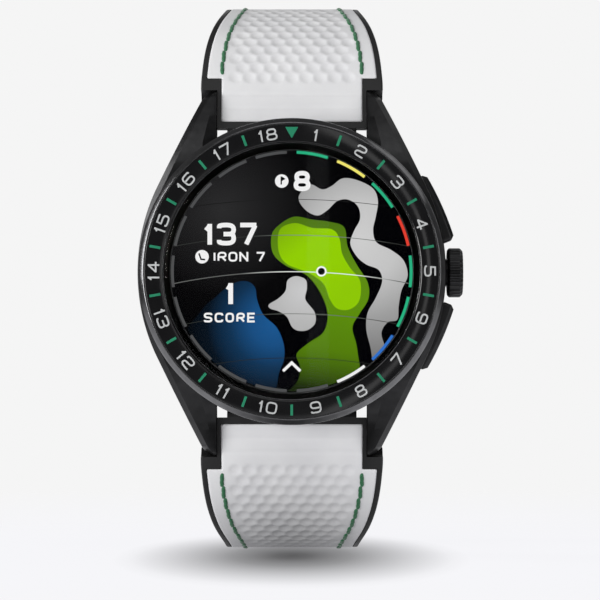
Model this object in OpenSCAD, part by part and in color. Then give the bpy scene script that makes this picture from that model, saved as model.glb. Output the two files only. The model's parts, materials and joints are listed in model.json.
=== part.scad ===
// Golf GPS watch. The watch is drawn with its dial facing up the local z axis and 12 o'clock
// along local y, and stand() turns it upright: the dial then faces -Y and 12 o'clock is +Z.
// The origin is the middle of the flat sensor window on the case back.

/* [Case] */
// Radius of the bezel ring
bezel_r = 22.3; // [21.8:0.1:22.4]
// Radius of each curved flank of the case
flank_r = 28.6; // [28.4:0.1:29]
// Half the width of the case at 3 and 9 o'clock
case_half_w = 22.5; // [22.4:0.1:22.6]
// Height of the case middle's top above the sensor window
case_top = 11.4; // [11.2:0.1:11.6]
// Radius of the hollow inside the case
cavity_r = 18; // [17.9:0.05:18.05]
// Gap between the two lugs of a pair
lug_gap = 22.2; // [22:0.1:22.4]
// Distance of each spring bar from the middle of the watch
bar_y = 23.4; // [23.3:0.1:23.5]
// Height of each spring bar
bar_z = 3.3; // [3.2:0.1:3.4]

/* [Controls] */
// Height of the crown and pusher axes
control_z = 6.5; // [6.3:0.1:6.7]
// Radius of the crown
crown_r = 3.62; // [3.5:0.02:3.7]
// Angle of each pusher above or below 3 o'clock
pusher_angle = 24; // [23:0.5:25]
// Length of a pusher's head
pusher_len = 10.4; // [9.6:0.1:10.6]

/* [Strap] */
// Half the width of the strap at its shoulders
shoulder_w = 13.3; // [13.1:0.1:13.4]
// Half the width of the strap where it points straight back
horizon_w = 10.1; // [9.8:0.1:10.4]
// Half the width of the strap at the clasp
tail_w = 9; // [8.6:0.1:9.05]
// Angle at which the strap leaves the case
lean = 28; // [27:0.5:29]
// Outer radius of the strap's first bend
bend_1 = 24.9; // [24.7:0.1:25.1]
// Outer radius of the strap's second bend
bend_2 = 22; // [21.8:0.1:22.2]
// Thickness of the white inlay
inlay_t = 0.9; // [0.8:0.05:1]

/* [Hidden] */
$fn = 96;
edge_angle = 24.7;
flank_x = flank_r - case_half_w;
edge_y = flank_r * sin(edge_angle);
edge_x = flank_r * cos(edge_angle) - flank_x;
case_bottom = 1.6;
lug_tip_r = 3.6;
wall_y = 19;
lug_x = lug_gap / 2;
back_r = 20.3;
collar_r = 22;
bar_r = 0.9;
tip_r = 0.5;
run = 0.05;
wire = 0.14;
strap_x = lug_x - 0.1;
shoulder_y = 28.3;
strap_end_y = 20.8;
corner_x = 9.5; // the strap's end corners are notched from here outwards
corner_y = 21.3;
strap_end_z = 7.4;
first_y = shoulder_y - bend_1 * sin(lean);
first_z = strap_end_z - (shoulder_y - strap_end_y) * tan(lean) - bend_1 * cos(lean);
second_y = first_y + bend_1 - bend_2;
flat_12 = 9.25;
flat_6 = 5.85;
tail_y_12 = -9;
tail_y_6 = 15.2;
thick = [[0, 4.4], [lean, 4.3], [60, 3.4], [90, 3.2], [180, 2.8]];
half_w = [[lean, shoulder_w], [38, 13.1], [45, 12.85], [50, 12.55], [55, 12.15], [60, 11.7], [65, 11.15],
    [70, 10.7], [75, 10.35], [82, 10.15], [90, horizon_w], [180, tail_w]];
inlay_stop = 152;
bend_steps = 14;
tail_z_12 = first_z - flat_12 - bend_2;
tail_z_6 = first_z - flat_6 - bend_2;
end_bar_y = -16.5;
end_bar_z = tail_z_6 + 1.4;
pin_1_y = -13;
pin_1_z = tail_z_6 + 0.33;
pin_2_y = 14.5;
pin_2_z = tail_z_6 + 0.88;
pin_r = 0.5;
knuckle_r = 1.1;
cover_w = 11;
cover_floor = tail_z_12 - 0.1;
button_y = 5.5;
button_z = tail_z_12 + 1.4;

// ---- helpers ----

module stand() {
    rotate([90, 0, 0]) children();
}

module disc(r, z0, z1) {
    translate([0, 0, z0]) cylinder(r = r, h = z1 - z0);
}

module ring(r_out, r_in, z0, z1) {
    difference() {
        disc(r_out, z0, z1);
        disc(r_in, z0 - 1, z1 + 1);
    }
}

// A box with corners at two opposite points
module block(low, high) {
    translate(low) cube(high - low);
}

// A cylinder along x at a given y and z
module rod(r, x0, x1, y = 0, z = 0) {
    translate([x0, y, z]) rotate([0, 90, 0]) cylinder(r = r, h = x1 - x0);
}

// Draws children with local x along a control's axis, at an angle from 3 o'clock
module on_axis(angle) {
    rotate([0, 0, angle]) translate([0, 0, control_z]) children();
}

module at_each(angles) {
    for (a = angles) rotate([0, 0, a]) children();
}

// A helical wire spring along z
module coil(r, length, turns, sides = 5, steps = 10) {
    rings = turns * steps;
    points = [for (i = [0:rings], j = [0:sides - 1])
        let (turn = 360 * i / steps, side = 360 * j / sides, reach = r + wire * cos(side))
        [reach * cos(turn), reach * sin(turn), length * i / rings + wire * sin(side)]];
    walls = [for (i = [0:rings - 1], j = [0:sides - 1])
        let (a = i * sides + j, b = i * sides + (j + 1) % sides)
        [a, b, b + sides, a + sides]];
    caps = [[for (j = [sides - 1:-1:0]) j], [for (j = [0:sides - 1]) rings * sides + j]];
    polyhedron(points, concat(walls, caps));
}

module coil_x(r, x0, x1, turns) {
    translate([x0, 0, 0]) rotate([0, 90, 0]) coil(r, x1 - x0, turns);
}

// ---- case ----

module case_outline() {
    intersection() {
        translate([-flank_x, 0]) circle(r = flank_r);
        translate([flank_x, 0]) circle(r = flank_r);
        square([60, 2 * edge_y], center = true);
    }
    for (my = [0, 1]) mirror([0, my]) polygon(concat(
        [[edge_x, edge_y], [13.2, 25.7], [11.9, 27], [lug_x, 27], [lug_x, wall_y]],
        [[-lug_x, wall_y], [-lug_x, 27], [-11.9, 27], [-13.2, 25.7], [-edge_x, edge_y]],
        [[-edge_x, edge_y - 1], [edge_x, edge_y - 1]]));
}

// Side view of the case and its lugs, drawn with y across and z up
module case_side() {
    for (my = [0, 1]) mirror([my, 0]) {
        polygon([[-1, case_bottom], [19, case_bottom], [bar_y, bar_z - lug_tip_r], [bar_y, bar_z],
            [25.52, 6.21], [23.2, 8.1], [20.5, 9.7], [17.5, 10.8], [14, case_top], [-1, case_top]]);
        translate([bar_y, bar_z]) circle(r = lug_tip_r);
    }
}

module case_middle() {
    color("#1c1c1e") stand() difference() {
        union() {
            intersection() {
                translate([0, 0, -1]) linear_extrude(14) case_outline();
                rotate([90, 0, 90]) translate([0, 0, -30]) linear_extrude(60) case_side();
            }
            translate([0, 0, 8]) linear_extrude(case_top - 8) intersection() {
                case_outline();
                circle(r = collar_r);
            }
        }
        disc(cavity_r, case_bottom - 1, case_top + 1);
        on_axis(0) rod(4, case_half_w - 0.6, 30);
        on_axis(0) rod(2.4, 15, 30);
        for (side = [-1, 1]) on_axis(side * pusher_angle) {
            rod(1.5, 15, 25);
            rod(2.05, 19.9, 25);
            block([21.4, -pusher_len / 2 - 0.2, -2.1], [26, pusher_len / 2 + 0.2, 2.1]);
        }
        for (y = [-bar_y, bar_y]) rod(tip_r + run, -12.1, 12.1, y, bar_z);
        at_each([45:90:315]) translate([19.15, 0, 0]) disc(0.5, 0, 5);
        at_each([150, 160]) translate([19, 0, 0]) disc(0.4, 0, 4);
    }
}

module bezel_ring() {
    color("#2a2a2d") stand() rotate_extrude() polygon([[17.6, case_top], [bezel_r, case_top],
        [bezel_r, 13], [22.07, 13.35], [21.55, 14.05], [21.4, 14.05], [21.4, 13.3], [18.62, 13.3],
        [18.62, 12.3], [17.6, 12.3]]);
}

module bezel_insert() {
    color("#0e0e10") stand() rotate_extrude() polygon([[18.7, 13.3], [21.35, 13.3], [21.35, 14.05],
        [21.25, 14.15], [18.85, 14.15], [18.7, 14]]);
}

// Raised lacquer bars at every 20 degrees, with a pip at 12 o'clock
module bezel_markings() {
    color("#0f8f5c") stand() {
        at_each([20:20:340]) block([-0.19, 19.3, 14.15], [0.19, 20.9, 14.19]);
        translate([0, 0, 14.15]) linear_extrude(0.04) polygon([[-0.9, 20.9], [0.9, 20.9], [0, 19.3]]);
    }
}

module crystal() {
    color([0.85, 0.9, 0.95, 0.3]) stand() rotate_extrude() polygon([[0, 12.9], [17.6, 12.9],
        [17.6, 12.6], [18.57, 12.6], [18.57, 14.15], [18.2, 14.5], [0, 14.5]]);
}

module crystal_gasket() {
    color("#222222") stand() ring(18.55, 17.7, 12.3, 12.6);
}

module display_panel() {
    color("#101418") stand() disc(17.55, 11.45, 12.58);
}

module display_frame() {
    color("#303234") stand() ring(17.9, 15.5, 10.4, 11.4);
}

module display_ribbon() {
    color("#b87333") stand() {
        block([-4, -14.6, 8.15], [4, -14.4, 11.45]);
        block([-4, -14.4, 8.15], [4, -11, 8.35]);
    }
}

// ---- inside ----

module inner_chassis() {
    color("#3a3d40") stand() difference() {
        disc(17.85, 3.4, 9.8);
        disc(16.4, 7.2, 10);
        translate([-4, 0, 0]) disc(11.6, 3, 6.6);
        translate([8.6, -9, 0]) disc(3.75, 3, 6.6);
        translate([8.6, 9, 0]) disc(3.75, 3, 6.6);
        block([12.4, -12, 3], [20, 12, 10]);
        translate([-3, 13.5, 0]) block([-2, -1, 3], [2, 1, 8]);
    }
}

module main_board() {
    color("#1d5b39") stand() difference() {
        union() {
            disc(16.3, 7.25, 8.1);
            block([-11, -6, 8], [-3, 2, 9.4]);
            block([-1, 0, 8], [5, 6, 9.2]);
            block([-9, 5, 8], [-4, 10, 9]);
            block([1, -8, 8], [7, -3, 9.1]);
        }
        block([12.3, -20, 7], [20, 20, 9]);
    }
}

module battery() {
    color("#8c9096") stand() translate([-4, 0, 0]) disc(11.5, 3.45, 6.5);
}

module satellite_antenna() {
    color("#c9b27a") stand() difference() {
        ring(17.7, 16.6, 9.8, 10.3);
        block([11, -15, 9], [20, 15, 11]);
    }
}

module vibration_motor() {
    color("#a9adb2") stand() translate([8.6, -9, 0]) disc(3.7, 3.6, 6.5);
}

module speaker() {
    color("#2c2c2e") stand() translate([8.6, 9, 0]) difference() {
        disc(3.7, 3.6, 6.5);
        disc(2.6, 3.5, 3.9);
    }
}

module microphone() {
    color("#c0c0c4") stand() translate([-14, 4, 0]) block([-1.3, -0.9, 8.1], [1.3, 0.9, 9.1]);
}

// ---- case back ----

module case_back() {
    color("#222224") stand() difference() {
        union() {
            intersection() {
                disc(back_r, 0.6, case_bottom);
                block([-25, -wall_y + 0.2, 0], [25, wall_y - 0.2, 3]);
            }
            disc(17.95, case_bottom, 2.6);
        }
        disc(9.05, 0, 3);
        disc(10.05, 1.4, 3);
        ring(18.5, 17.3, 1.9, 2.3);
        at_each([45:90:315]) translate([19.15, 0, 0]) {
            disc(0.55, 0, 3);
            disc(1, 0, 1.15);
        }
        for (x = [-4.5:3:4.5]) translate([x, -14, 0]) disc(0.9, 0, 3);
    }
}

module case_back_gasket() {
    color("#303030") stand() ring(17.97, 17.3, 1.92, 2.28);
}

module case_back_screws() {
    color("#77797d") stand() at_each([45:90:315]) translate([19.15, 0, 0]) difference() {
        union() {
            disc(0.9, 0.65, 1.15);
            disc(0.5, 1.15, 4.2);
        }
        block([-1, -0.12, 0], [1, 0.12, 0.85]);
    }
}

module sensor_window() {
    color([0.1, 0.1, 0.12]) stand() {
        disc(9, 0, 1.4);
        disc(10, 1.4, 2.2);
    }
}

module sensor_board() {
    color("#20492f") stand() {
        disc(8.4, 2.65, 3.3);
        for (x = [-3, 0, 3]) block([x - 0.8, -0.8, 2.25], [x + 0.8, 0.8, 2.65]);
        for (a = [60:60:300]) rotate([0, 0, a]) block([5, -0.9, 2.25], [6.8, 0.9, 2.65]);
    }
}

module charging_contacts() {
    color("#c9a24a") stand() for (x = [-4.5:3:4.5]) translate([x, -14, 0]) disc(0.9, 0.65, 2.9);
}

// ---- crown, on the 3 o'clock axis ----

crown_in = 22.8;
crown_out = 25.07;

module crown_knob() {
    color("#17171a") stand() on_axis(0) difference() {
        rotate([0, 90, 0]) rotate_extrude() polygon([[1, crown_in - 0.65], [1.95, crown_in - 0.65],
            [2.05, crown_in], [crown_r - 0.3, crown_in], [crown_r, crown_in + 0.25],
            [crown_r, crown_out - 0.4], [crown_r - 0.5, crown_out], [0, crown_out],
            [0, crown_out - 1.1], [1, crown_out - 1.1]]);
        for (i = [0:27]) rotate([i * 360 / 28, 0, 0]) rod(0.28, 20, 30, 0, crown_r + 0.08);
    }
}

module crown_shaft() {
    color("#8f9297") stand() on_axis(0) rod(1, 16.8, crown_out - 1.1);
}

module crown_clip() {
    color("#5b5d61") stand() on_axis(0) rotate([0, 90, 0]) ring(1.6, 1, 17, 17.3);
}

module crown_bushing() {
    color("#b59a55") stand() on_axis(0) rotate([0, 90, 0]) ring(1.75, 1 + run, 19.6, 22.08);
}

module crown_tube() {
    color("#6d7075") stand() on_axis(0) rotate([0, 90, 0]) difference() {
        disc(2.4, 17.4, 21.6);
        disc(1.3, 17, 18);
        disc(1.8, 17.8, 22);
        disc(2.1, 20.6, 21);
    }
}

module crown_gasket() {
    color("#242424") stand() on_axis(0) rotate([0, 90, 0]) ring(2.1, 1.77, 20.62, 20.98);
}

module crown_spring() {
    color("#b9bcc0") stand() on_axis(0) coil_x(1.53, 17.95, 19.45, 3);
}

module crown_switch() {
    color("#2e3033") stand() on_axis(0) union() {
        block([13.6, -2.4, -2], [15.9, 2.4, 2]);
        rod(0.9, 15.8, 16.3);
    }
}

// ---- pushers, on axes either side of 3 o'clock ----

module pusher(side) {
    color("#19191b") stand() on_axis(side * pusher_angle) {
        intersection() {
            block([22.05, -pusher_len / 2, -1.9], [25, pusher_len / 2, 1.9]);
            translate([24.13 - 45, 0, -3]) cylinder(r = 45, h = 6);
        }
        rod(1.05, 16.75, 22.1);
    }
}

module pusher_clip(side) {
    color("#5b5d61") stand() on_axis(side * pusher_angle) rotate([0, 90, 0]) ring(1.45, 1.05, 16.8, 17.05);
}

module pusher_spring(side) {
    color("#b9bcc0") stand() on_axis(side * pusher_angle) coil_x(1.5, 20.1, 21.85, 3);
}

module pusher_tubes() {
    color("#6d7075") stand() for (side = [-1, 1]) on_axis(side * pusher_angle) rotate([0, 90, 0]) difference() {
        disc(1.5, 17.15, 19.9);
        disc(1.05 + run, 17, 20);
        disc(1.35, 18.4, 18.8);
    }
}

module pusher_gaskets() {
    color("#242424") stand() for (side = [-1, 1]) on_axis(side * pusher_angle)
        rotate([0, 90, 0]) ring(1.35, 1.07, 18.42, 18.78);
}

module pusher_switches() {
    color("#c9ccd0") stand() for (side = [-1, 1]) on_axis(side * pusher_angle) union() {
        block([14.4, -1.4, -1.4], [15.8, 1.4, 1.4]);
        rod(0.6, 15.7, 16.15);
    }
}

// ---- strap halves, each drawn at 12 o'clock ----

// One point of the strap's outer line at a turn from the dial's plane, sunk by a depth
function bend_point(turn, flat, depth) = turn <= 90
    ? [first_y + (bend_1 - depth) * sin(turn), first_z + (bend_1 - depth) * cos(turn)]
    : [second_y + (bend_2 - depth) * sin(turn), first_z - flat + (bend_2 - depth) * cos(turn)];

function bend_turns(stop, start = lean) = concat([for (i = [0:bend_steps]) start + (90 - start) * i / bend_steps],
    [for (i = [0:bend_steps]) 90.001 + (stop - 90.001) * i / bend_steps]);

// A station is [y, z, turn, half width]: a point of the outer line, with the strap's width there
function straight_station(y, w) = [y, strap_end_z - (y - strap_end_y) * tan(lean), lean, w];

function bend_stations(flat, stop, edge, start = lean) = [for (a = bend_turns(stop, start))
    let (p = bend_point(a, flat, 0)) [p[0], p[1], a, lookup(a, half_w) - edge]];

function tail_stations(flat, tail_y) = [[tail_y, first_z - flat - bend_2, 180, tail_w]];

// Sweeps a band between two depths below the outer line
module band(stations, top, bottom) {
    last = len(stations) - 1;
    points = [for (s = stations, corner = [0:3])
        let (depth = corner < 2 ? top : lookup(s[2], bottom), x = corner == 0 || corner == 3 ? -s[3] : s[3])
        [x, s[0] - depth * sin(s[2]), s[1] - depth * cos(s[2])]];
    sides = [for (i = [0:last - 1], j = [0:3])
        let (p = 4 * i + j, q = 4 * i + (j + 1) % 4) each [[p, q + 4, q], [p, p + 4, q + 4]]];
    polyhedron(points, concat(sides, [[0, 1, 2, 3]], [[3, 2, 1, 0] + 4 * last * [1, 1, 1, 1]]));
}

// The narrow stretch between the lugs, and the step out to the shoulders
function lug_stations(start_y, step_y, inner_margin, outer_margin) = [
    straight_station(start_y, strap_x - inner_margin), straight_station(step_y, strap_x - inner_margin),
    straight_station(step_y + 0.05, shoulder_w - outer_margin)];

module strap_inlay(flat, lift = 0) {
    band(concat(lug_stations(22.3, 28.95, 0.55, 0.85), bend_stations(flat, inlay_stop, 0.85, 30)),
        -lift, [[0, inlay_t], [180, inlay_t]]);
}

module strap_base(flat, tail_y) {
    difference() {
        band(concat(lug_stations(strap_end_y, bar_y, 0, 0), bend_stations(flat, 180, 0),
            tail_stations(flat, tail_y)), 0, thick);
        strap_inlay(flat, 0.5);
        for (x = [-20, strap_x + 0.02]) rod(lug_tip_r + 0.2, x, x + 20 - strap_x - 0.02, bar_y, bar_z);
        rod(bar_r, -20, 20, bar_y, bar_z);
        for (swing = [0:6:24]) translate([0, bar_y, bar_z]) rotate([-swing, 0, 0])
            block([-20, -10, -8], [20, wall_y - bar_y + 0.1, 8]);
        block([4.4, bar_y - 0.6, -2], [8.2, bar_y + 0.6, bar_z]);
        for (x = [-20, corner_x]) block([x, 10, -8], [x + 20 - corner_x, corner_y, 12]);
    }
}

module strap_stitching(flat) {
    inset = 2.95;
    step = 2.35;
    for (side = [-1, 1], a = [35:step / bend_1 * 57.3:88])
        translate([side * (lookup(a, half_w) - inset), bend_point(a, flat, 0.1)[0], bend_point(a, flat, 0.1)[1]])
            rotate([-a, 0, side * 3]) translate([0, -0.95, 0]) rotate([-90, 0, 0]) cylinder(r = 0.22, h = 1.9);
    for (side = [-1, 1], z = [first_z - 1.6:-step:first_z - flat])
        translate([side * (horizon_w - inset), first_y + bend_1 - 0.1, z]) cylinder(r = 0.22, h = 1.9, center = true);
    for (side = [-1, 1], a = [92:step / bend_2 * 57.3:inlay_stop - 5])
        translate([side * (lookup(a, half_w) - inset), bend_point(a, flat, 0.1)[0], bend_point(a, flat, 0.1)[1]])
            rotate([-a, 0, side * 2]) translate([0, -0.95, 0]) rotate([-90, 0, 0]) cylinder(r = 0.22, h = 1.9);
}

// The bar's tube with its fixed tip on the left
module spring_bar() {
    translate([0, bar_y, bar_z]) {
        difference() {
            rod(bar_r, -10.6, 10.6);
            rod(0.65, -2.2, 12);
            block([5, -0.5, -2], [7.8, 0.5, 0]);
        }
        rod(tip_r, -11.9, -10.6);
    }
}

// The sliding tip with its thumb stub on the right
module quick_release() {
    translate([0, bar_y, bar_z]) {
        rod(tip_r, 5, 11.9);
        translate([7, 0, -2.6]) cylinder(r = 0.4, h = 2.6);
    }
}

module bar_spring() {
    translate([0, bar_y, bar_z]) coil_x(0.45, -2, 4.8, 8);
}

module strap_12_base() {
    color("#19191b") stand() difference() {
        strap_base(flat_12, tail_y_12);
        rod(0.65, -20, 20, 3, tail_z_12 + 1.4);
    }
}

module strap_12_inlay() {
    color("#e4e4e6") stand() strap_inlay(flat_12);
}

module strap_12_stitching() {
    color("#1f7a4a") stand() strap_stitching(flat_12);
}

module strap_6_base() {
    color("#19191b") stand() mirror([0, 1, 0]) difference() {
        strap_base(flat_6, tail_y_6);
        rod(0.8, -20, 20, -end_bar_y, end_bar_z);
    }
}

module strap_6_inlay() {
    color("#e4e4e6") stand() mirror([0, 1, 0]) strap_inlay(flat_6);
}

module strap_6_stitching() {
    color("#1f7a4a") stand() mirror([0, 1, 0]) strap_stitching(flat_6);
}

module spring_bar_12() {
    color("#9da0a5") stand() spring_bar();
}

module spring_bar_6() {
    color("#9da0a5") stand() mirror([0, 1, 0]) spring_bar();
}

module quick_release_12() {
    color("#c4c6ca") stand() quick_release();
}

module quick_release_6() {
    color("#c4c6ca") stand() mirror([0, 1, 0]) quick_release();
}

module bar_spring_12() {
    color("#b9bcc0") stand() bar_spring();
}

module bar_spring_6() {
    color("#b9bcc0") stand() mirror([0, 1, 0]) bar_spring();
}

// ---- folding clasp ----

module clasp_cover() {
    color("#1b1b1d") stand() difference() {
        union() {
            block([-cover_w, -14.3, cover_floor - 0.9], [cover_w, 16.5, cover_floor]);
            for (mx = [0, 1]) mirror([mx, 0, 0]) {
                block([tail_w + 0.2, -14.3, cover_floor - 0.5], [cover_w, 16.5, tail_z_12 + 2.7]);
                block([6.1, -14.1, cover_floor - 0.5], [7.6, -11.9, pin_1_z]);
                rod(knuckle_r, 6.1, 7.6, pin_1_y, pin_1_z);
            }
        }
        rod(pin_r, -20, 20, pin_1_y, pin_1_z);
        rod(0.6, -10.2, 10.2, 3, tail_z_12 + 1.4);
        for (mx = [0, 1]) mirror([mx, 0, 0]) {
            block([10, button_y - 3.6, button_z - 1.1], [12, button_y + 3.6, button_z + 1.1]);
            rod(0.8, 9.5, 12, button_y, button_z);
        }
    }
}

// The bar that holds the strap's tail, and the pin of the middle blade's hinge
module clasp_cover_pins() {
    color("#9da0a5") stand() {
        rod(0.6, -10.1, 10.1, 3, tail_z_12 + 1.4);
        rod(pin_r, -7.6, 7.6, pin_1_y, pin_1_z);
    }
}

module clasp_blade_middle() {
    color("#222225") stand() difference() {
        union() {
            block([-6, pin_1_y, pin_1_z - 0.4], [6, pin_2_y - 1.4, pin_1_z + 0.4]);
            block([-3, 10, pin_1_z - 0.4], [3, pin_2_y, pin_1_z + 0.4]);
            rod(knuckle_r, -6, 6, pin_1_y, pin_1_z);
            rod(knuckle_r, -3, 3, pin_2_y, pin_2_z);
        }
        rod(pin_r + run, -20, 20, pin_1_y, pin_1_z);
        rod(pin_r + run, -20, 20, pin_2_y, pin_2_z);
    }
}

module clasp_blade_inner() {
    top_z = tail_z_6 + 1.85;
    color("#222225") stand() difference() {
        union() {
            difference() {
                block([-10.2, 2, top_z - 0.8], [10.2, pin_2_y - 0.2, top_z]);
                block([-3.15, pin_2_y - 1.4, -60], [3.15, 20, -30]);
            }
            for (mx = [0, 1]) mirror([mx, 0, 0]) {
                block([tail_w + 0.25, end_bar_y, top_z - 0.8], [10.2, 3, top_z]);
                rod(1.3, tail_w + 0.25, 10.2, end_bar_y, end_bar_z);
                rod(knuckle_r, 3.15, 6, pin_2_y, pin_2_z);
            }
        }
        rod(pin_r, -9, 9, pin_2_y, pin_2_z);
        rod(0.55, -20, 20, end_bar_y, end_bar_z);
    }
}

module clasp_blade_pin() {
    color("#9da0a5") stand() rod(pin_r, -6, 6, pin_2_y, pin_2_z);
}

module clasp_end_bar() {
    color("#9da0a5") stand() rod(0.8, -8.95, 8.95, end_bar_y, end_bar_z);
}

module clasp_button() {
    translate([0, button_y, button_z]) union() {
        block([10.6, -3.5, -1], [11.7, 3.5, 1]);
        rod(0.35, 10, 10.7);
    }
}

module clasp_button_right() {
    color("#1b1b1d") stand() clasp_button();
}

module clasp_button_left() {
    color("#1b1b1d") stand() mirror([1, 0, 0]) clasp_button();
}

module clasp_button_springs() {
    color("#b9bcc0") stand() for (mx = [0, 1]) mirror([mx, 0, 0])
        translate([0, button_y, button_z]) coil_x(0.6, 9.65, 10.45, 2);
}

case_middle();
bezel_ring();
bezel_insert();
bezel_markings();
crystal();
crystal_gasket();
display_panel();
display_frame();
display_ribbon();
inner_chassis();
main_board();
battery();
satellite_antenna();
vibration_motor();
speaker();
microphone();
case_back();
case_back_gasket();
case_back_screws();
sensor_window();
sensor_board();
charging_contacts();
crown_knob();
crown_shaft();
crown_clip();
crown_bushing();
crown_tube();
crown_gasket();
crown_spring();
crown_switch();
pusher(1);  // pusher_upper
pusher(-1);  // pusher_lower
pusher_clip(1);  // pusher_clip_upper
pusher_clip(-1);  // pusher_clip_lower
pusher_spring(1);  // pusher_spring_upper
pusher_spring(-1);  // pusher_spring_lower
pusher_tubes();
pusher_gaskets();
pusher_switches();
strap_12_base();
strap_12_inlay();
strap_12_stitching();
spring_bar_12();
quick_release_12();
bar_spring_12();
strap_6_base();
strap_6_inlay();
strap_6_stitching();
spring_bar_6();
quick_release_6();
bar_spring_6();
clasp_cover();
clasp_cover_pins();
clasp_blade_middle();
clasp_blade_inner();
clasp_blade_pin();
clasp_end_bar();
clasp_button_right();
clasp_button_left();
clasp_button_springs();
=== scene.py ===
"""Looks of the golf GPS watch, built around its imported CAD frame.

Shapes are worked out in millimetres in the watch's own axes: x to 3 o'clock, y to 12 o'clock and z
out of the dial. build() turns them upright into the frame's metres, so the dial faces -Y.
"""

import json
from math import cos, degrees, pi, radians, sin, sqrt, tan

import bmesh
import bpy
import numpy as np
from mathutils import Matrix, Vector


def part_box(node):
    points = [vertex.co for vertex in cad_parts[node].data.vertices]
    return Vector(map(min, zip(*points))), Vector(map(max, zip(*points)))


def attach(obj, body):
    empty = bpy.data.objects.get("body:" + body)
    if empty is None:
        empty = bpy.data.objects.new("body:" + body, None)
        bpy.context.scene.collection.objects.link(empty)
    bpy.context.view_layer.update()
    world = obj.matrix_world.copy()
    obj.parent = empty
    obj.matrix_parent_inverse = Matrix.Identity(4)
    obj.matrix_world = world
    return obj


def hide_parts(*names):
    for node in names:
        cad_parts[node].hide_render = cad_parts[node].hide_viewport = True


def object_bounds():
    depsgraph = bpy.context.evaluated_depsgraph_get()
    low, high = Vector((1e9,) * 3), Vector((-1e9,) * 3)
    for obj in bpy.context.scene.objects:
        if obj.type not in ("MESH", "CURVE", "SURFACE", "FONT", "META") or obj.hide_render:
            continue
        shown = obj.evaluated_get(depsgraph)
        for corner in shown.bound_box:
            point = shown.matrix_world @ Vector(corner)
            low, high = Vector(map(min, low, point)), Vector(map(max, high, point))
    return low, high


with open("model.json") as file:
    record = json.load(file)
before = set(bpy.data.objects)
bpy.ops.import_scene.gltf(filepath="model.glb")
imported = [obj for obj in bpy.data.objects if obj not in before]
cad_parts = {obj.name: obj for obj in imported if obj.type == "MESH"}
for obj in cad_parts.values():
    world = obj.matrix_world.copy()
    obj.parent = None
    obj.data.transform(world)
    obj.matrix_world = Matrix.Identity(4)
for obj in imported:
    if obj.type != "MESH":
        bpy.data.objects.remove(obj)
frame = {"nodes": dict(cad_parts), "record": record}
cad_low, cad_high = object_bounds()

MM = 0.001


def node_box(node):
    """A CAD node's lowest and highest corners in the watch's own millimetres."""
    low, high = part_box(node)
    return (np.array([low.x, low.z, -high.y]) / MM, np.array([high.x, high.z, -low.y]) / MM)


# ---- driving dimensions, in millimetres, worked out from the frame ----

CASE_HIGH = node_box("case_middle")[1]
RING_LOW, RING_HIGH = node_box("bezel_ring")
BAR_LOW, BAR_HIGH = node_box("spring_bar_12")
STRAP_HIGH = node_box("strap_12_base")[1]
CROWN_LOW, CROWN_HIGH = node_box("crown_knob")
COVER_LOW, COVER_HIGH = node_box("clasp_cover")

CASE_HALF = CASE_HIGH[0]
CASE_BOTTOM = 1.6
CASE_TOP = RING_LOW[2]
CAVITY_R = 18
FLANK_R = 28.6
FLANK_X = FLANK_R - CASE_HALF
EDGE_ANGLE = radians(24.7)
EDGE_Y = FLANK_R * sin(EDGE_ANGLE)
EDGE_X = FLANK_R * cos(EDGE_ANGLE) - FLANK_X
WALL_Y = 19
LUG_X = 11.1
LUG_TIP_R = 3.6
LUG_END = CASE_HIGH[1]
TIP_CORNER = (13.2, 25.7)
TIP_X = 11.9
BAR_Y = (BAR_LOW[1] + BAR_HIGH[1]) / 2
BAR_Z = (BAR_LOW[2] + BAR_HIGH[2]) / 2
BEZEL_R = RING_HIGH[0]
CONTROL_Z = (CROWN_LOW[2] + CROWN_HIGH[2]) / 2
CROWN_R = CROWN_HIGH[1]
CROWN_OUT = CROWN_HIGH[0]
CROWN_IN = 22.8
PUSHER_ANGLE = 24
PUSHER_LENGTH = 10.4
PUSHER_HEIGHT = 3.8
PUSHER_FACE = 24.13
PUSHER_CROWN_R = 45

LEAN = 28
SHOULDER_Y = 28.3
STRAP_END = (20.8, 7.4)
STRAP_X = 11.0
BEND_1 = (STRAP_HIGH[1] - SHOULDER_Y) / (1 - sin(radians(LEAN)))
BEND_2 = 22
FLAT = {"12": 9.25, "6": 5.85}
TAIL_Y = {"12": -9, "6": 15.2}
THICKNESS = ([0, LEAN, 60, 90, 180], [4.4, 4.3, 3.4, 3.2, 2.8])
HALF_WIDTH = ([LEAN, 38, 45, 50, 55, 60, 65, 70, 75, 82, 90, 180],
              [13.5, 13.2, 12.85, 12.5, 12.1, 11.65, 11.15, 10.7, 10.35, 10.15, 10.1, 9])
CORNER = (9.5, 21.3)
INLAY_T = 0.9
INLAY_MARGIN = 0.8
INLAY_NARROW = STRAP_X - 0.55
INLAY_START_Y = 22.3
INLAY_STEP_Y = 29.0
INLAY_STOP = 152
STITCH_INSET = 2.95
STITCH_STEP = 2.35
NEAR_EDGE = np.array([0, 0.03, 0.1, 0.2, 0.32, 0.46, 0.6])


# ---- mesh helpers ----


def row_points(points):
    p = np.array(points, float).reshape(-1, 3)
    return np.column_stack([p[:, 0], -p[:, 2], p[:, 1]]) * MM


def add_object(name, data):
    obj = bpy.data.objects.new(name, data)
    bpy.context.scene.collection.objects.link(obj)
    return obj


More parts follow.
